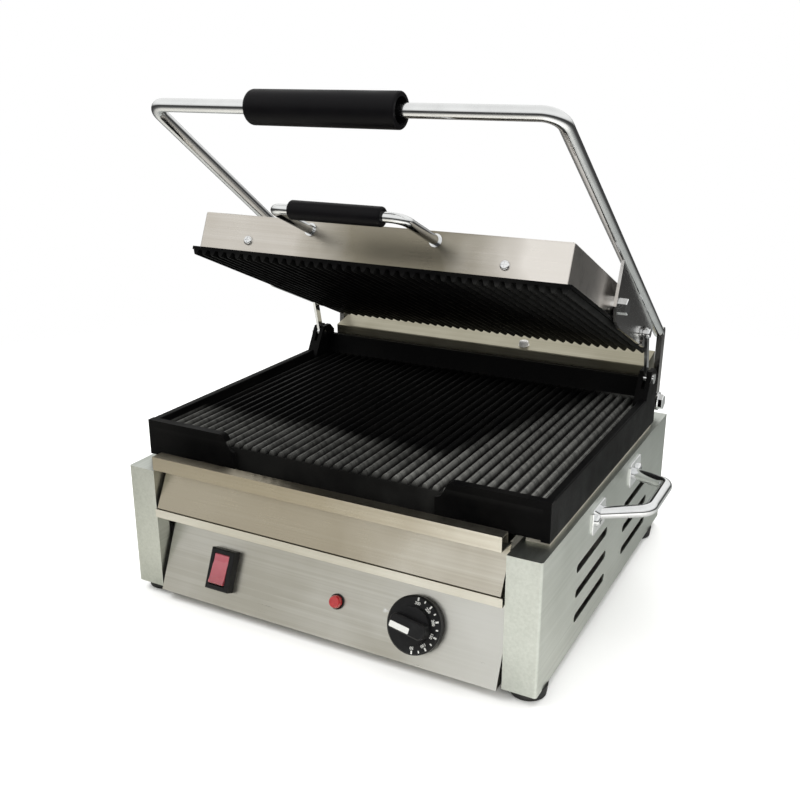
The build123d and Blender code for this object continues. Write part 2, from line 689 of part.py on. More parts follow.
def lever_tube():
    """Bent chrome tube: two arms and the crossbar."""
    ex, ey, ez = ELBOW
    sx, sy, sz = SHOULDER
    return tube_along([(-ex, ey, ez), (-sx, sy, sz), (sx, sy, sz), (ex, ey, ez)], SHOULDER_BEND, TUBE_R)


def main_grip():
    """Black sleeve on the crossbar, closed and rounded at the left, open at the right."""
    y, z = SHOULDER[1:]
    grip = rod_x(*GRIP_X, y, z, GRIP_R)
    grip = fillet(grip.faces().sort_by(Axis.X)[0].edges(), 5)
    grip = fillet(grip.faces().sort_by(Axis.X)[-1].edges(), 1.5)
    grip -= rod_x(GRIP_X[1] - 12, GRIP_X[1] + 5, y, z, 11)
    return grip - rod_x(GRIP_X[0] - 5, GRIP_X[1] + 5, y, z, TUBE_R)


def upright(tube):
    """Flat bar from the hinge up to the elbow, right side, notched round the tube."""
    y0, z0 = PIVOT
    y1, z1 = ELBOW[1:]
    lean = degrees(atan2(z1 - z0, y1 - y0))
    length = hypot(y1 - y0, z1 - z0)
    bar = Plane.YZ * Rot(0, 0, lean) * Pos(length / 2, 0) * Rectangle(length, 13)
    eye = Plane.YZ * Circle(10)
    cap = Plane.YZ * Rot(0, 0, lean) * Pos(length, 0) * Circle(6.5)
    bar = Pos(BAR_X0, y0, z0) * extrude(bar + eye + cap, BAR_X1 - BAR_X0, dir=(1, 0, 0))
    return bar - rod_x(BAR_X0 - 5, BAR_X1 + 5, y0, z0, SHAFT_R + RUN) - tube


def hanger(tube):
    """Plate under the right arm that carries the platen, slotted for the link stud."""
    top = [arm_point(y)[1:] for y in (372, 234)]
    outline = top + [(214, 297), (219, 281), (230, 272.5), (331, 229), (349, 231)]
    plate = side_plate(outline, HANGER_X0, HANGER_X1) - tube
    plate -= rod_x(HANGER_X0 - 5, HANGER_X1 + 5, *HANG, 5)
    reach = hypot(*STUD)
    open_angle = degrees(atan2(STUD[1], STUD[0])) - OPEN_TILT
    travel = LEVER_TRAVEL - OPEN_TILT
    for i in range(7):
        a = radians(open_angle + 1.5 - (travel + 3) * i / 6)
        plate -= rod_x(HANGER_X0 - 5, HANGER_X1 + 5, HANG[0] + reach * cos(a), HANG[1] + reach * sin(a), 5)
    return plate


def platen_bolts():
    """Bolts through the hangers that the platen tilts on."""
    bolts = []
    for sx in (-1, 1):
        head = Pos(sx * HANGER_X1, *HANG) * Rot(0, sx * 90, 0) * hex_nut(14, 5)
        shank = rod_x(sx * (HOUSE_X - 4), sx * HANGER_X1, *HANG, 5)
        bolts.append(head + shank)
    return Compound(bolts)


# ---------------------------------------------------------------- platen, drawn level about its pivot

def upper_plate():
    """Ribbed cast-iron plate with a raised pad for the heating element."""
    plate = ribs(TOP_X, (TOP_Y0, TOP_Y1), CREST + RIB_H, FLANGE_Z, -1)
    plate += block((-180, 180), (TOP_Y0 + 12, TOP_Y1 - 12), (FLANGE_Z - 1, FLANGE_Z + 3))
    for x in CLAMP_X:
        for y in UPPER_CLAMP_Y:
            plate += rod_z(x, y, FLANGE_Z, FLANGE_Z + 11, 6)
    return on_platen(plate)


def platen_housing():
    """Stainless cover over the upper plate, open below, with a folded inner flange."""
    shell = block((-HOUSE_X, HOUSE_X), (HOUSE_Y0, HOUSE_Y1), (FLANGE_Z, HOUSE_Z1))
    shell = fillet(shell.edges().filter_by(Axis.Z), 2.0)
    shell = fillet(shell.faces().sort_by(Axis.Z)[-1].edges(), 1.2)
    inner_x = HOUSE_X - SHEET
    shell -= block((-inner_x, inner_x), (HOUSE_Y0 + SHEET, HOUSE_Y1 - SHEET), (FLANGE_Z, HOUSE_Z1 - SHEET))
    shell -= rod_x(-HOUSE_X - 5, HOUSE_X + 5, 0, 0, 5 + RUN)
    shell -= rod_x(-HOUSE_X - 5, HOUSE_X + 5, *STUD, 3)
    for x in (-BAIL_X, BAIL_X):
        shell -= rod_y(x, HOUSE_Y0 - 5, HOUSE_Y0 + 5, BAIL_Z, 2.5)
    for x in (-HOUSE_SCREW_X, HOUSE_SCREW_X):
        shell -= rod_y(x, HOUSE_Y0 - 5, HOUSE_Y1 + 5, HOUSE_SCREW_Z, 2)
    return on_platen(shell)


def upper_element():
    """Heating element on the upper plate."""
    return on_platen(element(130, UPPER_RUNS, FLANGE_Z + 7))


def upper_clamps():
    """Flat bars over the upper element, with their screws."""
    z = FLANGE_Z + 11
    bars = []
    for x in CLAMP_X:
        bar = block((x - 8, x + 8), (-125, 125), (z, z + 3))
        for y in UPPER_CLAMP_Y:
            bar += rod_z(x, y, z + 3, z + 6, 4.5)
        bars.append(on_platen(bar))
    return Compound(bars)


def insulation(z0):
    """Mineral-fibre blanket over the upper element."""
    return on_platen(block((-180, 180), (-134, 132), (z0, z0 + 12)))


def front_bail():
    """Bent chrome rod that carries the front grip."""
    y0, y1 = HOUSE_Y0 - 1.6, HOUSE_Y0 - BAIL_OUT
    points = [(-BAIL_X, y0, BAIL_Z), (-BAIL_X, y1, BAIL_Z), (BAIL_X, y1, BAIL_Z), (BAIL_X, y0, BAIL_Z)]
    return on_platen(tube_along(points, 12, BAIL_R))


def front_grip():
    """Black sleeve on the front rod."""
    y = HOUSE_Y0 - BAIL_OUT
    grip = rod_x(-43.5, 47.5, y, BAIL_Z, 8.5)
    grip = fillet(grip.edges().filter_by(GeomType.CIRCLE), 2)
    return on_platen(grip - rod_x(-60, 60, y, BAIL_Z, BAIL_R))


def bail_nuts():
    """Washers outside and nuts inside the housing at the rod's feet."""
    nuts = []
    for x in (-BAIL_X, BAIL_X):
        washer = rod_y(x, HOUSE_Y0 - 1.6, HOUSE_Y0, BAIL_Z, 6.2)
        stud = rod_y(x, HOUSE_Y0, HOUSE_Y0 + 10, BAIL_Z, 2.5)
        nut = Pos(x, HOUSE_Y0 + SHEET, BAIL_Z) * Rot(-90, 0, 0) * hex_nut(8, 4)
        nuts.append(on_platen(washer + stud + nut))
    return Compound(nuts)


def housing_screws():
    """Domed screws on the housing's front and rear faces."""
    screw = dome_screw(4.6, 2.8, 2, 8)
    screws = []
    for x in (-HOUSE_SCREW_X, HOUSE_SCREW_X):
        screws.append(on_platen(Pos(x, HOUSE_Y0, HOUSE_SCREW_Z) * Rot(90, 0, 0) * screw))
        screws.append(on_platen(Pos(x, HOUSE_Y1, HOUSE_SCREW_Z) * Rot(-90, 0, 0) * screw))
    return Compound(screws)


def pivot_spacers():
    """Bushes between the housing sides and the hangers, round the platen bolts."""
    bushes = []
    for sx in (-1, 1):
        ring = rod_x(sx * HOUSE_X, sx * (HANGER_X0 - 0.3), 0, 0, 9)
        bushes.append(on_platen(ring - rod_x(sx * 180, sx * 200, 0, 0, 5 + RUN)))
    return Compound(bushes)


def link_studs():
    """Studs on the housing sides that the links drive."""
    studs = []
    for sx in (-1, 1):
        stud = rod_x(sx * (HOUSE_X - 6), sx * HOUSE_X, *STUD, 3)
        stud += rod_x(sx * HOUSE_X, sx * (LINK_X0 - 0.5), *STUD, 4)
        stud += rod_x(sx * HOUSE_X, sx * (HOUSE_X + 3), *STUD, 5.2)
        studs.append(on_platen(stud))
    return Compound(studs)


# ---------------------------------------------------------------- links

def open_stud():
    """The link stud's place with the lever open."""
    t = radians(OPEN_TILT)
    return (HANG[0] + STUD[0] * cos(t) + STUD[1] * sin(t), HANG[1] - STUD[0] * sin(t) + STUD[1] * cos(t))


def link():
    """Right link: flat bar with rounded ends and a rivet head at the stud end."""
    y0, z0 = LINK_PIN
    y1, z1 = open_stud()
    lean = degrees(atan2(z1 - z0, y1 - y0))
    length = hypot(y1 - y0, z1 - z0)
    outline = Rot(0, 0, lean) * Pos(length / 2, 0) * Rectangle(length, 8) + Circle(6) + (
        Rot(0, 0, lean) * Pos(length, 0) * Circle(6.5))
    bar = Pos(LINK_X0, y0, z0) * extrude(Plane.YZ * outline, LINK_X1 - LINK_X0, dir=(1, 0, 0))
    bar -= rod_x(LINK_X0 - 5, LINK_X1 + 5, y0, z0, 3 + RUN)
    rivet = rod_x(LINK_X1, LINK_X1 + 2.4, y1, z1, 5)
    return bar + fillet(rivet.faces().sort_by(Axis.X)[-1].edges(), 1.6)


def link_pins():
    """Pins through the lugs, with flat heads outside."""
    pins = []
    for sx in (-1, 1):
        head = rod_x(sx * PLATE_X, sx * (PLATE_X + 2), *LINK_PIN, 5.5)
        pins.append(head + rod_x(sx * LUG_X, sx * PLATE_X, *LINK_PIN, 3))
    return Compound(pins)


# ---------------------------------------------------------------- output

def build():
    """All sub-parts by node name."""
    tube = lever_tube()
    right = {"side_panel": side_panel(), "side_handle": side_handle(), "upright": upright(tube),
             "hanger": hanger(tube), "link": link()}
    parts = {f"{name}_right": shape for name, shape in right.items()}
    parts |= {f"{name}_left": mirror(shape, Plane.YZ) for name, shape in right.items()}
    makers = [base_pan, rear_panel, control_panel, tray_shelf, feet, foot_screws, body_screws, escutcheons,
              handle_screws, handle_nuts, switch_housing, switch_rocker, pilot_lamp_body, pilot_lens,
              thermostat_body, thermostat_spindle, knob, thermostat_bulb, terminal_block, cable_gland,
              drip_tray, lower_plate, plate_gaskets, lower_element, lower_clamps, heat_shield, hinge_cover,
              hinge_brackets, hinge_shaft, hinge_bolts, counter_springs, spring_collars, main_grip,
              platen_bolts, upper_plate, platen_housing, upper_element, upper_clamps, front_bail, front_grip,
              bail_nuts, housing_screws, pivot_spacers, link_studs, link_pins]
    parts |= {maker.__name__: maker() for maker in makers}
    parts["lever_tube"] = tube
    parts["upper_insulation"] = insulation(FLANGE_Z + 18)
    return parts


os.makedirs("parts", exist_ok=True)
for name, shape in build().items():
    export_step(Pos(0, -ORIGIN_Y, 0) * shape, f"parts/{name}.step")
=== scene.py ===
"""Panini press: materials, printed marks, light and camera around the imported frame."""
import json
import math

import bmesh
import bpy
from mathutils import Matrix, Vector


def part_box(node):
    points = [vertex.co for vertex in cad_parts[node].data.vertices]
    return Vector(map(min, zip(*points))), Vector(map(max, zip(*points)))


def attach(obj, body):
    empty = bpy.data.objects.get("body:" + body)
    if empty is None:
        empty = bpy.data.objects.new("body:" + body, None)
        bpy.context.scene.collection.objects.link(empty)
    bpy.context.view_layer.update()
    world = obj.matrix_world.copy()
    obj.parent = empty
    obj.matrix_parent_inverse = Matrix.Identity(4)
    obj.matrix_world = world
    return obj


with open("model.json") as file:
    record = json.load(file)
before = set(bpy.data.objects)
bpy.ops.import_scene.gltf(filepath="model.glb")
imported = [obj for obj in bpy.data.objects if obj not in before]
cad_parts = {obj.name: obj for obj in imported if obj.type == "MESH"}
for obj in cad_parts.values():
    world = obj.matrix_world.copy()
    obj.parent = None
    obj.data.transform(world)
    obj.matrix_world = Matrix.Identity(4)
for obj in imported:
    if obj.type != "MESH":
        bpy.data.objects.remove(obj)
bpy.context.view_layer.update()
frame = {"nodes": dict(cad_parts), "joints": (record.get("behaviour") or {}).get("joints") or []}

# ---------------------------------------------------------------- driving values, metres and degrees

CAMERA_AT = Vector((0.4407, -0.86175, 0.5077))
CAMERA_PITCH = 71.2             # 90 looks level
CAMERA_HEADING = 28.1           # left of +Y
CAMERA_LENS = 44.14             # mm on a 36 mm sensor

OPEN_TILT = 23.5                # tilt of the open platen
PLATEN_PIVOT = Vector((0.0, 0.03855, 0.292))
UPPER_CREST = -0.0218           # rib crests of the upper plate, below its pivot
LOWER_CREST = 0.1685            # rib crests of the lower plate

WORN_AND_LIT_Y = -0.098               # the plate's rib crests are painted grey in front of this line, partly rubbed wear and partly painted highlight
WORN_AND_LIT_X = 0.1125               # and to the right of a line through here, leaning right to the rear
WORN_AND_LIT_LEAN = 0.325
RIBS_X = 0.2025                 # half width of the ribs, and their front end
RIBS_Y = -0.1725
GLINT_DISC_AT = Vector((0.051, 0.17255, 0.2035))   # pale disc on the hinge cover, a painted highlight for the bright spot there
GLINT_DISC_R = 0.0062
TINT_SHADE_X = 0.035                 # middle of the housing's smoky brown, partly heat tint and partly painted shade

RAY_START = 0.05                # marks are dropped onto their surface from this far out
INK_LIFT = 0.00012              # thickness of printed marks
KNOB_TURN = -9.0                # turn of the knob's grip bar at rest
DIAL_FIRST = 172.0              # clock angles of the lowest and highest figures
DIAL_LAST = 2.0
DIAL_STEPS = 10
DIAL_STEP_VALUE = 50
DIAL_TICK_R = 0.0232
DIAL_TICKS = ((0.0015, 0.0030), (0.0012, 0.0022))   # with a figure, and between figures
MARK_CORNER = 0.0002
DIAL_TEXT_R = 0.0194
DIAL_TEXT_SIZE = 0.0036
POINTER_AT = (-0.0062, -0.0029)
POINTER_SIZE = (0.0195, 0.0052)
POINTER_CORNER = 0.0009
INDEX_AT = (-0.0305, 0.0040)
INDEX_SIZE = 0.0042

# what reflections see, from straight down (0) through the horizon (0.5) to straight up (1)
SKY = ((0.0, 0.40), (0.40, 0.05), (0.51, 0.06), (0.60, 0.85), (0.75, 1.0), (1.0, 0.9))
# soft lights: place, width and height, power in watts
LIGHTS = {
    "key": ((-1.3, -0.9, 1.9), (1.6, 1.2), 34),
    "fill": ((1.6, -1.2, 1.0), (1.0, 1.2), 11),
    "top": ((0.2, 0.5, 2.0), (1.6, 1.2), 27),
}
LIGHTS_AIM = Vector((0, 0, 0.2))

FLOOR_NEAR = 0.45               # the floor fades out between these radii
FLOOR_FAR = 1.15
FLOOR_PALE = (0.9, 0.9, 0.895)
FLOOR_MIRRORED = (0.56, 0.545, 0.50)    # the floor as the metal mirrors it: left, right and rear
FLOOR_MIRRORED_RIGHT = (0.82, 0.81, 0.78)
FLOOR_MIRRORED_REAR = (0.27, 0.28, 0.27)


# ---------------------------------------------------------------- material toolkit

class Look:
    """A Principled material, with the node steps that the finishes below share."""

    def __init__(self, name, colour, roughness, metallic=0.0, **sockets):
        self.material = bpy.data.materials.new(name)
        self.material.use_nodes = True
        self.tree = self.material.node_tree
        self.shader = self.tree.nodes["Principled BSDF"]
        self.set("Base Color", (*colour, 1.0))
        self.set("Roughness", roughness)
        self.set("Metallic", metallic)
        for socket, value in sockets.items():
            self.set(socket.replace("_", " ").title().replace("Ior", "IOR"), value)
        self.height = None

    def set(self, socket, value):
        """Put a number, colour or node output on one of the shader's sockets."""
        if isinstance(value, bpy.types.NodeSocket):
            self.tree.links.new(value, self.shader.inputs[socket])
        else:
            self.shader.inputs[socket].default_value = value

    def step(self, kind, inputs, **settings):
        """Add a node; inputs are matched by socket name or number."""
        made = self.tree.nodes.new("ShaderNode" + kind)
        for key, value in settings.items():
            setattr(made, key, value)
        for key, value in inputs.items():
            if isinstance(value, bpy.types.NodeSocket):
                self.tree.links.new(value, made.inputs[key])
            else:
                made.inputs[key].default_value = value
        return made

    def place(self, stretch=(1, 1, 1), turn=0.0):
        """Object coordinates in metres, tilted about X, then scaled."""
        at = self.step("TexCoord", {}).outputs["Object"]
        turned = self.step("Mapping", {"Vector": at, "Rotation": (math.radians(turn), 0, 0)})
        return self.step("Mapping", {"Vector": turned.outputs[0], "Scale": stretch}).outputs[0]

    def xyz(self, at):
        """The three parts of a vector."""
        return self.step("SeparateXYZ", {0: at}).outputs

    def noise(self, at, scale, detail=2.0, rough=0.5):
        inputs = {"Vector": at, "Scale": scale, "Detail": detail, "Roughness": rough}
        return self.step("TexNoise", inputs).outputs["Fac"]

    def span(self, value, low, high, to_low, to_high):
        """Map value from low..high to to_low..to_high, clamped."""
        inputs = {0: value, 1: low, 2: high, 3: to_low, 4: to_high}
        return self.step("MapRange", inputs).outputs[0]

    def blend(self, factor, first, second):
        """Mix two colours."""
        inputs = {0: factor}
        for slot, colour in ((6, first), (7, second)):
            inputs[slot] = colour if isinstance(colour, bpy.types.NodeSocket) else (*colour, 1.0)
        return self.step("Mix", inputs, data_type="RGBA").outputs[2]

    def math(self, operation, first, second=0.0):
        return self.step("Math", {0: first, 1: second}, operation=operation).outputs[0]

    def bump(self, height, depth, strength=1.0):
        """Add relief of this depth; later calls stack on earlier ones."""
        inputs = {"Strength": strength, "Distance": depth, "Height": height}
        if self.height:
            inputs["Normal"] = self.height
        self.height = self.step("Bump", inputs).outputs[0]
        self.set("Normal", self.height)


# ---------------------------------------------------------------- finishes

def brushed_steel(name, light, dark, grain, roughness, front_grain=None, tint=None):
    """Brushed stainless: hair-fine grain, soft cloudy tone, light smears.

    front_grain brushes faces that look forwards another way; tint changes the colour by place, with painted
    light and shade.
    """
    look = Look(name, light, roughness, metallic=1.0)
    lines = look.noise(look.place(grain), 1.0, detail=3.0, rough=0.65)
    if front_grain:
        other = look.noise(look.place(front_grain), 1.0, detail=3.0, rough=0.65)
        facing = look.xyz(look.step("NewGeometry", {}).outputs["Normal"])[1]
        lines = look.step("Mix", {0: look.math("ABSOLUTE", facing), 2: lines, 3: other}).outputs[0]
    streaks = look.noise(look.place([g * 0.17 for g in grain]), 1.0, detail=2.0)
    cloud = look.noise(look.place(), 9.0, detail=3.0, rough=0.55)
    smear = look.noise(look.place(), 38.0, detail=4.0, rough=0.6)
    tone = look.math("ADD", look.math("MULTIPLY", cloud, 0.65), look.math("MULTIPLY", streaks, 0.35))
    colour = look.blend(look.span(tone, 0.38, 0.62, 0.0, 1.0), dark, light)
    if tint:
        colour = tint(look, cloud, colour)
    look.set("Base Color", colour)
    worn = look.math("ADD", look.math("MULTIPLY", lines, 0.16), look.math("MULTIPLY", smear, 0.10))
    look.set("Roughness", look.math("ADD", worn, roughness - 0.13))
    look.bump(lines, 0.00004, 0.55)
    look.bump(cloud, 0.0012, 0.10)
    return look.material


def heat_tint_shade_and_highlight(look, cloud, colour):
    """Smoky brown over the middle of the housing's front, partly heat tint and partly painted shade; a
    painted highlight brightens its right end.
    """
    here = look.xyz(look.place())
    side = look.math("ABSOLUTE", look.math("SUBTRACT", here[0], TINT_SHADE_X))
    drift = look.math("ADD", side, look.span(cloud, 0.3, 0.7, -0.025, 0.025))
    front = look.span(here[1], -0.092, -0.03, 1.0, 0.15)
    # smoky brown in the middle: partly heat tint, partly painted shade
    tinted_and_shaded = look.math("MULTIPLY", look.span(drift, 0.055, 0.11, 1.0, 0.0), front)
    # painted highlight: brighter steel towards the right end
    lit_right_end = look.blend(look.span(here[0], 0.10, 0.15, 0.0, 0.8), colour, (0.88, 0.84, 0.80))
    return look.blend(tinted_and_shaded, lit_right_end, (0.27, 0.245, 0.19))


def painted_right_highlight(look, cloud, colour):
    """Painted highlight: brighter steel towards the control panel's right end."""
    across = look.xyz(look.place())[0]
    drift = look.math("ADD", across, look.span(cloud, 0.3, 0.7, -0.03, 0.03))
    # painted highlight: the colour brightens towards the right end
    return look.blend(look.span(drift, 0.05, 0.17, 0.0, 0.8), colour, (0.86, 0.86, 0.82))


def painted_glint_disc(look, cloud, colour):
    """Painted highlight: a pale, non-metal disc on the hinge cover that shows as a bright spot."""
    here = look.place()
    away = look.step("VectorMath", {0: here, 1: GLINT_DISC_AT}, operation="SUBTRACT").outputs[0]
    radius = look.step("VectorMath", {0: away}, operation="LENGTH").outputs["Value"]
    steel = look.span(radius, GLINT_DISC_R, GLINT_DISC_R + 0.0003, 0.0, 1.0)
    look.set("Metallic", steel)
    # painted highlight: pale disc in place of the steel
    return look.blend(steel, (0.86, 0.85, 0.82), colour)


def straw_painted_reflection(look, cloud, colour):
    """Straw-brown painted reflection over the tray, fading to clean steel at its right end."""
    across = look.xyz(look.place())[0]
    drift = look.math("ADD", across, look.span(cloud, 0.3, 0.7, -0.03, 0.03))
    # painted reflection: straw-brown on the left, fading out to the right
    return look.blend(look.span(drift, 0.02, 0.14, 0.75, 0.0), colour, (0.36, 0.31, 0.22))


def chrome(name, tint=(0.83, 0.84, 0.85), roughness=0.05):
    """Bright plating with faint orange peel and finger smears."""
    look = Look(name, tint, roughness, metallic=1.0)
    smear = look.noise(look.place(), 55.0, detail=5.0, rough=0.6)
    peel = look.noise(look.place(), 420.0, detail=1.0)
    look.set("Roughness", look.span(smear, 0.42, 0.72, roughness, roughness + 0.16))
    look.set("Base Color", look.blend(look.span(smear, 0.35, 0.75, 0.0, 1.0), tint,
                                      [0.9 * c for c in tint]))
    look.bump(peel, 0.00006, 0.12)
    return look.material


def cast_iron(name, crest, turn, sign, worn_and_lit, gloss):
    """Seasoned cast iron: sandy black skin, with rib crests painted grey along the front and the right,
    partly rubbed wear and partly painted highlight.
    """
    look = Look(name, (0.003, 0.003, 0.0033), 0.5, specular_ior_level=gloss)
    at = look.place()
    sand = look.noise(at, 1500.0, detail=3.0, rough=0.6)
    pits = look.noise(at, 320.0, detail=2.0)
    season = look.noise(at, 22.0, detail=4.0, rough=0.6)
    rub = look.noise(look.place((9.0, 70.0, 9.0)), 3.0, detail=3.0)
    # near the crests, and not on the rim above them
    level = look.xyz(look.place(turn=turn))[2]
    rise = look.math("MULTIPLY", look.math("SUBTRACT", level, crest), sign)
    flank = look.span(rise, -0.0045, -0.0008, 0.1, 1.0)
    top = look.math("MULTIPLY", flank, look.span(rise, 0.0004, 0.0008, 1.0, 0.0))
    # grey crests here are partly rubbed wear and partly painted highlight
    # in front of one line, or to the right of the other
    here = look.xyz(at)
    front = look.math("SUBTRACT", WORN_AND_LIT_Y, here[1])
    lean = look.math("ADD", look.math("MULTIPLY", here[1], WORN_AND_LIT_LEAN), WORN_AND_LIT_X)
    right = look.math("SUBTRACT", here[0], lean)
    reach = look.math("MAXIMUM", front, right)
    edge = look.math("ADD", reach, look.span(season, 0.3, 0.7, -0.006, 0.006))
    more = look.span(right, -0.01, 0.01, 0.5, 1.0)
    worn_and_lit_zone = look.math("MULTIPLY", look.span(edge, -0.012, 0.012, 0.02, worn_and_lit), more)
    inside = look.span(look.math("ABSOLUTE", here[0]), RIBS_X, RIBS_X + 0.002, 1.0, 0.0)
    inside = look.math("MULTIPLY", inside, look.span(here[1], RIBS_Y, RIBS_Y + 0.002, 0.0, 1.0))
    # worn: grey crest mask, partly rubbed wear and partly painted highlight
    worn = look.math("MULTIPLY", look.math("MULTIPLY", top, worn_and_lit_zone), look.span(rub, 0.34, 0.62, 0.45, 1.0))
    worn = look.math("MULTIPLY", worn, inside)
    skin = look.blend(look.span(season, 0.4, 0.7, 0.0, 1.0), (0.0018, 0.0018, 0.002), (0.0052, 0.005, 0.0048))
    look.set("Base Color", look.blend(worn, skin, (0.17, 0.17, 0.16)))
    rough = look.math("ADD", look.span(season, 0.3, 0.75, 0.36, 0.56), look.math("MULTIPLY", sand, 0.12))
    look.set("Roughness", look.math("SUBTRACT", rough, look.math("MULTIPLY", worn, 0.08)))
    look.bump(pits, 0.0004, 0.18)
    look.bump(sand, 0.00022, 0.4)
    return look.material


def satin_grip(name):
    """Black phenolic handle: satin skin with faint polish from hands."""
    look = Look(name, (0.004, 0.004, 0.0045), 0.4, specular_ior_level=0.07, coat_weight=0.02,
                coat_roughness=0.2)
    hands = look.noise(look.place(), 30.0, detail=3.0)
    skin = look.noise(look.place(), 900.0, detail=2.0)
    look.set("Roughness", look.span(hands, 0.35, 0.7, 0.34, 0.5))
    look.set("Base Color", look.blend(hands, (0.003, 0.003, 0.0036), (0.0065, 0.006, 0.0068)))
    look.bump(skin, 0.00008, 0.2)
    return look.material


def moulded_plastic(name, colour, pale, roughness):
    """Moulded plastic with a fine spark-eroded skin and slight scuffing."""
    look = Look(name, colour, roughness, specular_ior_level=0.25)
    skin = look.noise(look.place(), 2200.0, detail=2.0)
    scuff = look.noise(look.place(), 70.0, detail=5.0, rough=0.65)
    look.set("Base Color", look.blend(look.span(scuff, 0.5, 0.8, 0.0, 1.0), colour, pale))
    look.set("Roughness", look.span(scuff, 0.3, 0.75, roughness, roughness + 0.16))
    look.bump(skin, 0.00006, 0.35)
    return look.material


def red_plastic(name):
    """Translucent red rocker, paler where light collects near its top."""
    look = Look(name, (0.50, 0.05, 0.07), 0.2, coat_weight=0.5, coat_roughness=0.08,
                subsurface_weight=0.35, subsurface_scale=0.004)
    look.set("Subsurface Radius", (1.0, 0.25, 0.2))
    level = look.xyz(look.place())[2]
    cloud = look.noise(look.place(), 160.0, detail=2.0)
    low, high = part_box("switch_rocker")
    rise = look.span(level, low[2], high[2], 0.0, 0.75)
    mixed = look.math("ADD", rise, look.math("MULTIPLY", cloud, 0.25))
    look.set("Base Color", look.blend(mixed, (0.21, 0.035, 0.045), (0.42, 0.11, 0.135)))
    look.bump(look.noise(look.place(), 900.0), 0.00005, 0.2)
    return look.material


def red_lens(name):
    """Clear red lamp lens with a ring of fine flutes inside."""
    look = Look(name, (0.55, 0.01, 0.02), 0.07, transmission_weight=0.35, ior=1.5,
                coat_weight=0.6, coat_roughness=0.03)
    glow = look.noise(look.place(), 420.0, detail=1.0)
    look.set("Base Color", look.blend(glow, (0.34, 0.005, 0.012), (0.72, 0.05, 0.05)))
    look.bump(look.noise(look.place(), 1300.0), 0.00008, 0.25)
    return look.material


def rubber(name):
    look = Look(name, (0.011, 0.011, 0.011), 0.78)
    dust = look.noise(look.place(), 60.0, detail=5.0, rough=0.7)
    look.set("Base Color", look.blend(look.span(dust, 0.5, 0.8, 0.0, 1.0), (0.009, 0.009, 0.009),
                                      (0.045, 0.043, 0.04)))
    look.set("Roughness", look.span(dust, 0.3, 0.8, 0.68, 0.9))
    look.bump(look.noise(look.place(), 1300.0, detail=2.0), 0.00012, 0.4)
    return look.material


def fibre(name):
    """Pressed mineral fibre board with matted strands."""
    look = Look(name, (0.55, 0.52, 0.44), 0.95, sheen_weight=0.2)
    strands = look.noise(look.place((260, 900, 260)), 1.0, detail=5.0, rough=0.7)
    stain = look.noise(look.place(), 35.0, detail=3.0)
    mat = look.blend(strands, (0.36, 0.33, 0.27), (0.66, 0.63, 0.55))
    look.set("Base Color", look.blend(look.span(stain, 0.45, 0.8, 0.0, 0.6), mat, (0.24, 0.19, 0.13)))
    look.bump(strands, 0.0006, 0.6)
    return look.material


def heater_sheath(name):
    """Oxidised heater sheath: dark, with blue and straw heat tints."""
    look = Look(name, (0.1, 0.09, 0.08), 0.45, metallic=0.85)
    tint = look.noise(look.place(), 28.0, detail=3.0)
    cool = look.blend(look.span(tint, 0.35, 0.55, 0, 1), (0.07, 0.075, 0.11), (0.11, 0.09, 0.06))
    look.set("Base Color", look.blend(look.span(tint, 0.5, 0.75, 0, 1), cool, (0.2, 0.15, 0.09)))
    look.set("Roughness", look.span(tint, 0.3, 0.7, 0.34, 0.6))
    look.bump(look.noise(look.place(), 700.0, detail=2.0), 0.0001, 0.3)
    return look.material


def zinc_plate(name):
    """Zinc-plated steel with small spangles and dull patches."""
    look = Look(name, (0.55, 0.56, 0.57), 0.38, metallic=1.0)
    spangle = look.step("TexVoronoi", {"Vector": look.place(), "Scale": 260.0}).outputs["Color"]
    grey = look.xyz(spangle)[0]
    dull = look.noise(look.place(), 45.0, detail=4.0)
    look.set("Base Color", look.blend(grey, (0.44, 0.45, 0.46), (0.62, 0.63, 0.62)))
    rough = look.math("ADD", look.span(grey, 0, 1, 0.24, 0.4), look.math("MULTIPLY", dull, 0.12))
    look.set("Roughness", rough)
    look.bump(dull, 0.0002, 0.15)
    return look.material


def ceramic(name):
    look = Look(name, (0.78, 0.75, 0.68), 0.32, coat_weight=0.4, coat_roughness=0.15)
    speck = look.noise(look.place(), 480.0, detail=3.0, rough=0.7)
    look.set("Base Color", look.blend(look.span(speck, 0.55, 0.75, 0, 1), (0.8, 0.77, 0.7), (0.5, 0.46, 0.4)))
    look.set("Roughness", look.span(speck, 0.3, 0.7, 0.26, 0.45))
    look.bump(speck, 0.0001, 0.2)
    return look.material


def bare_copper(name):
    look = Look(name, (0.72, 0.36, 0.22), 0.3, metallic=1.0)
    tarnish = look.noise(look.place(), 90.0, detail=5.0, rough=0.65)
    dulled = look.span(tarnish, 0.4, 0.75, 0, 1)
    look.set("Base Color", look.blend(dulled, (0.75, 0.38, 0.24), (0.3, 0.15, 0.1)))
    look.set("Roughness", look.span(tarnish, 0.3, 0.75, 0.22, 0.5))
    look.bump(tarnish, 0.0001, 0.2)
    return look.material


def spring_steel(name):
    look = Look(name, (0.16, 0.16, 0.17), 0.36, metallic=0.9)
    oil = look.noise(look.place(), 75.0, detail=4.0)
    look.set("Base Color", look.blend(oil, (0.09, 0.09, 0.1), (0.24, 0.235, 0.23)))
    look.set("Roughness", look.span(oil, 0.3, 0.7, 0.26, 0.5))
    look.bump(look.noise(look.place(), 800.0), 0.00008, 0.25)
    return look.material


def ink(name, colour):
    """Pad-printed ink: slightly uneven and matt."""
    look = Look(name, colour, 0.5)
    patch = look.noise(look.place(), 1200.0, detail=3.0)
    look.set("Base Color", look.blend(patch, [0.86 * c for c in colour], colour))
    look.set("Roughness", look.span(patch, 0.3, 0.7, 0.42, 0.62))
    return look.material


# grain triples: the axis with the small number runs along the brushing
ALONG_X = (14.0, 2600.0, 2600.0)
ALONG_Y = (2600.0, 14.0, 2600.0)
ALONG_Z = (2600.0, 2600.0, 14.0)

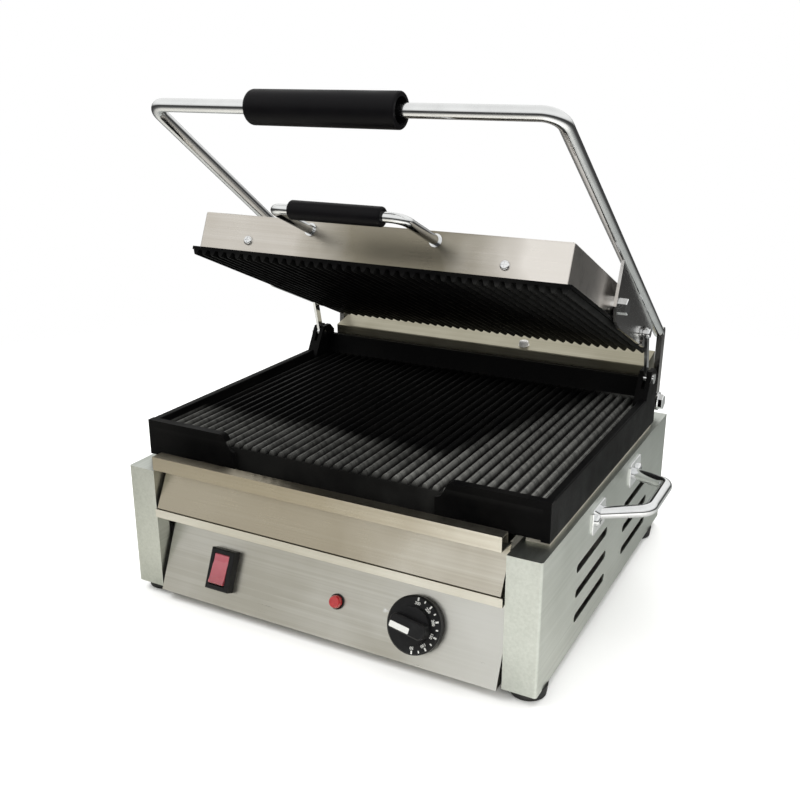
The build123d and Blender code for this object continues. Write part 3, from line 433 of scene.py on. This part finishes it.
FINISHES = {
    "steel_side": brushed_steel("look_steel_side", (0.585, 0.61, 0.57), (0.47, 0.495, 0.455), ALONG_Y, 0.36,
                                front_grain=ALONG_Z),
    "steel_front": brushed_steel("look_steel_front", (0.68, 0.665, 0.605), (0.55, 0.53, 0.46), ALONG_X, 0.32),
    "steel_top": brushed_steel("look_steel_top", (0.68, 0.645, 0.59), (0.54, 0.50, 0.435), ALONG_X, 0.30),
    "steel_plain": brushed_steel("look_steel_plain", (0.56, 0.56, 0.55), (0.46, 0.46, 0.45), ALONG_X, 0.42),
    "hanger_steel": brushed_steel("look_hanger_steel", (0.66, 0.65, 0.64), (0.50, 0.49, 0.48), ALONG_Z, 0.16),
    "chrome": chrome("look_chrome"),
    "grip": satin_grip("look_grip"),
    "black_plastic": moulded_plastic("look_black_plastic", (0.005, 0.005, 0.0055), (0.014, 0.014, 0.015),
                                     0.38),
    "red_plastic": red_plastic("look_red_plastic"),
    "red_lens": red_lens("look_red_lens"),
    "rubber": rubber("look_rubber"),
    "fibre": fibre("look_fibre"),
    "element": heater_sheath("look_element"),
    "zinc_steel": zinc_plate("look_zinc_steel"),
    "ceramic_white": ceramic("look_ceramic_white"),
    "copper": bare_copper("look_copper"),
    "spring_steel": spring_steel("look_spring_steel"),
}
# folded steel parts whose tone differs from their slot's, some with painted light and shade by place
NODE_FINISHES = {
    "drip_tray": brushed_steel("look_tray", (0.68, 0.65, 0.57), (0.54, 0.50, 0.42), ALONG_X, 0.30,
                               tint=straw_painted_reflection),
    "control_panel": brushed_steel("look_panel", (0.68, 0.665, 0.605), (0.55, 0.53, 0.46), ALONG_X, 0.32,
                                   tint=painted_right_highlight),
    "hinge_cover": brushed_steel("look_hinge_cover", (0.46, 0.435, 0.34), (0.33, 0.305, 0.225), ALONG_X, 0.34,
                                 tint=painted_glint_disc),
    "platen_housing": brushed_steel("look_housing", (0.68, 0.645, 0.60), (0.57, 0.53, 0.475), ALONG_X, 0.30,
                                    tint=heat_tint_shade_and_highlight),
}
LOWER_IRON = cast_iron("look_cast_iron_lower", LOWER_CREST, 0.0, 1.0, 0.9, 0.06)
# the upper plate's crests lie below its pivot along the open platen's tilted normal
tilt = math.radians(OPEN_TILT)
upper_level = PLATEN_PIVOT.z * math.cos(tilt) + PLATEN_PIVOT.y * math.sin(tilt) + UPPER_CREST
UPPER_IRON = cast_iron("look_cast_iron_upper", upper_level, OPEN_TILT, -1.0, 0.08, 0.03)


def finish_nodes():
    """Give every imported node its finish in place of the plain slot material."""
    for name, node in frame["nodes"].items():
        for slot in node.material_slots:
            finish = slot.material.name.split(".")[0]
            slot.link = "OBJECT"
            if finish == "cast_iron":
                slot.material = UPPER_IRON if name == "upper_plate" else LOWER_IRON
            elif name in NODE_FINISHES:
                slot.material = NODE_FINISHES[name]
            else:
                slot.material = FINISHES[finish]


# ---------------------------------------------------------------- printed marks

def joint_axes(name):
    """Origin, across, up and out directions of the face that a joint's axis leaves."""
    joint = next(j for j in frame["joints"] if j["name"] == name)
    out = Vector(joint["axis"]).normalized()
    across = Vector((1, 0, 0))
    return Vector(joint["pos_m"]), across, out.cross(across), out


def surface(node, start, direction):
    """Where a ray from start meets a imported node, and the normal there."""
    hit, at, normal, _ = frame["nodes"][node].ray_cast(start, direction)
    if not hit:
        raise ValueError(f"no surface of {node} below {tuple(start)}")
    return at, normal


def stand(at, across, normal):
    """Matrix that lays a flat mark on a surface, its local X along across."""
    side = (across - across.dot(normal) * normal).normalized()
    turn = Matrix((side, normal.cross(side), normal)).transposed().to_4x4()
    return Matrix.Translation(at) @ turn


def printed(name, mesh, matrix, body, finish):
    """Object for a mark's mesh, placed, inked and riding on its body."""
    mark = bpy.data.objects.new(name, mesh)
    bpy.context.scene.collection.objects.link(mark)
    mark.matrix_world = matrix
    mesh.materials.clear()
    mesh.materials.append(finish)
    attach(mark, body)


def flat_mark(name, outline, matrix, body, finish):
    """Thin printed shape with this outline, lying on the surface."""
    form = bmesh.new()
    face = form.faces.new([form.verts.new((x, y, INK_LIFT)) for x, y in outline])
    base = bmesh.ops.extrude_face_region(form, geom=[face])
    moved = [v for v in base["geom"] if isinstance(v, bmesh.types.BMVert)]
    bmesh.ops.translate(form, verts=moved, vec=(0, 0, -2 * INK_LIFT))
    bmesh.ops.recalc_face_normals(form, faces=form.faces)
    mesh = bpy.data.meshes.new(name)
    form.to_mesh(mesh)
    form.free()
    printed(name, mesh, matrix, body, finish)


def bar(length, width, r, steps=4):
    """Outline of a bar with rounded corners, centred on the origin."""
    points = []
    for corner, (sx, sy) in enumerate(((1, 1), (-1, 1), (-1, -1), (1, -1))):
        x, y = sx * (length / 2 - r), sy * (width / 2 - r)
        for i in range(steps + 1):
            a = math.radians(90 * (corner + i / steps))
            points.append((x + r * math.cos(a), y + r * math.sin(a)))
    return points


def figures(name, text, size, matrix, body, finish):
    """Printed figures as a mesh, so that they ride and export like any other mark."""
    curve = bpy.data.curves.new(name, "FONT")
    curve.body = text
    curve.size = size
    curve.align_x = "CENTER"
    curve.align_y = "CENTER"
    curve.extrude = INK_LIFT
    curve.offset = size * 0.02
    draft = bpy.data.objects.new(name + "_draft", curve)
    bpy.context.scene.collection.objects.link(draft)
    mesh = bpy.data.meshes.new_from_object(draft)
    bpy.data.objects.remove(draft)
    printed(name, mesh, matrix, body, finish)


def dial_marks():
    """Temperature figures and ticks on the knob's skirt, its pointer, and the mark on the panel."""
    white = ink("look_white_ink", (0.66, 0.66, 0.63))
    origin, across, up, out = joint_axes("knob_turn")
    high = out * RAY_START

    def on_knob(x, y, turn):
        start = origin + across * x + up * y + high
        at, normal = surface("knob", start, -out)
        return stand(at, across * math.cos(turn) + up * math.sin(turn), normal)

    for i in range(DIAL_STEPS + 1):
        clock = math.radians(DIAL_LAST + (DIAL_FIRST - DIAL_LAST) * (1 - i / DIAL_STEPS))
        place = [DIAL_TICK_R * math.sin(clock), DIAL_TICK_R * math.cos(clock)]
        tick = bar(*DIAL_TICKS[i % 2], MARK_CORNER)
        flat_mark(f"dial_tick_{i:02d}", tick, on_knob(*place, -clock), "knob", white)
        if i % 2 == 0:
            place = [DIAL_TEXT_R * math.sin(clock), DIAL_TEXT_R * math.cos(clock)]
            figures(f"dial_figure_{i:02d}", str(DIAL_STEP_VALUE * (i // 2 + 1)), DIAL_TEXT_SIZE,
                    on_knob(*place, -clock), "knob", white)
    turn = math.radians(KNOB_TURN)
    along = across * math.cos(turn) + up * math.sin(turn)
    beside = up * math.cos(turn) - across * math.sin(turn)
    start = origin + along * POINTER_AT[0] + beside * POINTER_AT[1] + high
    at, normal = surface("knob", start, -out)
    flat_mark("knob_pointer", bar(*POINTER_SIZE, POINTER_CORNER), stand(at, along, normal), "knob", white)
    start = origin + across * INDEX_AT[0] + up * INDEX_AT[1] + high
    at, normal = surface("control_panel", start, -out)
    wedge = [(-INDEX_SIZE, -INDEX_SIZE / 2), (INDEX_SIZE / 2, 0), (-INDEX_SIZE, INDEX_SIZE / 2)]
    flat_mark("panel_index", wedge, stand(at, across, normal), "base", white)


# ---------------------------------------------------------------- light, floor and camera

def world_light():
    """White behind the object; reflections see bright air above and a dark band round the horizon."""
    world = bpy.data.worlds.new("studio")
    bpy.context.scene.world = world
    world.use_nodes = True
    tree = world.node_tree
    tree.nodes.clear()
    at = tree.nodes.new("ShaderNodeTexCoord")
    split = tree.nodes.new("ShaderNodeSeparateXYZ")
    tree.links.new(at.outputs["Generated"], split.inputs[0])
    ramp = tree.nodes.new("ShaderNodeValToRGB")
    rise = tree.nodes.new("ShaderNodeMapRange")
    rise.inputs[1].default_value = -1.0
    tree.links.new(split.outputs[2], rise.inputs[0])
    tree.links.new(rise.outputs[0], ramp.inputs[0])
    while len(ramp.color_ramp.elements) < len(SKY):
        ramp.color_ramp.elements.new(0.5)
    for stop, (place, grey) in zip(ramp.color_ramp.elements, SKY):
        stop.position = place
        stop.color = (grey, grey, grey * 0.98, 1)
    lit = tree.nodes.new("ShaderNodeBackground")
    lit.inputs[1].default_value = 1.0
    tree.links.new(ramp.outputs[0], lit.inputs[0])
    white = tree.nodes.new("ShaderNodeBackground")
    white.inputs[0].default_value = (1, 1, 1, 1)
    path = tree.nodes.new("ShaderNodeLightPath")
    choose = tree.nodes.new("ShaderNodeMixShader")
    out = tree.nodes.new("ShaderNodeOutputWorld")
    tree.links.new(path.outputs["Is Camera Ray"], choose.inputs[0])
    tree.links.new(lit.outputs[0], choose.inputs[1])
    tree.links.new(white.outputs[0], choose.inputs[2])
    tree.links.new(choose.outputs[0], out.inputs[0])


def soft_light(name, place, size, power):
    """Rectangular soft light that faces the object and leaves no reflection of its own."""
    data = bpy.data.lights.new(name, "AREA")
    data.shape = "RECTANGLE"
    data.size, data.size_y = size
    data.energy = power
    light = bpy.data.objects.new(name, data)
    bpy.context.scene.collection.objects.link(light)
    light.location = place
    light.rotation_euler = (LIGHTS_AIM - Vector(place)).to_track_quat("-Z", "Y").to_euler()
    light.visible_glossy = False


def floor():
    """Plain pale floor that fades into the white background; metal mirrors it in darker tones."""
    mesh = bpy.data.meshes.new("floor")
    form = bmesh.new()
    bmesh.ops.create_grid(form, x_segments=24, y_segments=24, size=FLOOR_FAR)
    form.to_mesh(mesh)
    form.free()
    plane = bpy.data.objects.new("floor", mesh)
    bpy.context.scene.collection.objects.link(plane)
    look = Look("look_floor", FLOOR_PALE, 0.7)
    path = look.step("LightPath", {}).outputs["Is Glossy Ray"]
    here = look.xyz(look.place())
    rightward = look.span(here[0], -0.12, 0.2, 0.0, 1.0)
    across = look.blend(rightward, FLOOR_MIRRORED, FLOOR_MIRRORED_RIGHT)
    mirrored = look.blend(look.span(here[1], -0.2, 0.25, 0.0, 1.0), across, FLOOR_MIRRORED_REAR)
    look.set("Base Color", look.blend(path, FLOOR_PALE, mirrored))
    radius = look.step("VectorMath", {0: look.place()}, operation="LENGTH").outputs["Value"]
    fade = look.span(radius, FLOOR_NEAR, FLOOR_FAR, 0.0, 1.0)
    clear = look.step("BsdfTransparent", {})
    mixed = look.step("MixShader", {0: fade, 1: look.shader.outputs[0], 2: clear.outputs[0]})
    look.tree.links.new(mixed.outputs[0], look.tree.nodes["Material Output"].inputs[0])
    mesh.materials.append(look.material)


def camera():
    data = bpy.data.cameras.new("camera")
    data.lens = CAMERA_LENS
    data.sensor_width = 36.0
    made = bpy.data.objects.new("camera", data)
    bpy.context.scene.collection.objects.link(made)
    made.location = CAMERA_AT
    made.rotation_euler = (math.radians(CAMERA_PITCH), 0, math.radians(CAMERA_HEADING))
    bpy.context.scene.camera = made


camera()
finish_nodes()
dial_marks()
world_light()
floor()
for name, row in LIGHTS.items():
    soft_light(name, *row)
bpy.context.scene.view_settings.view_transform = "Standard"
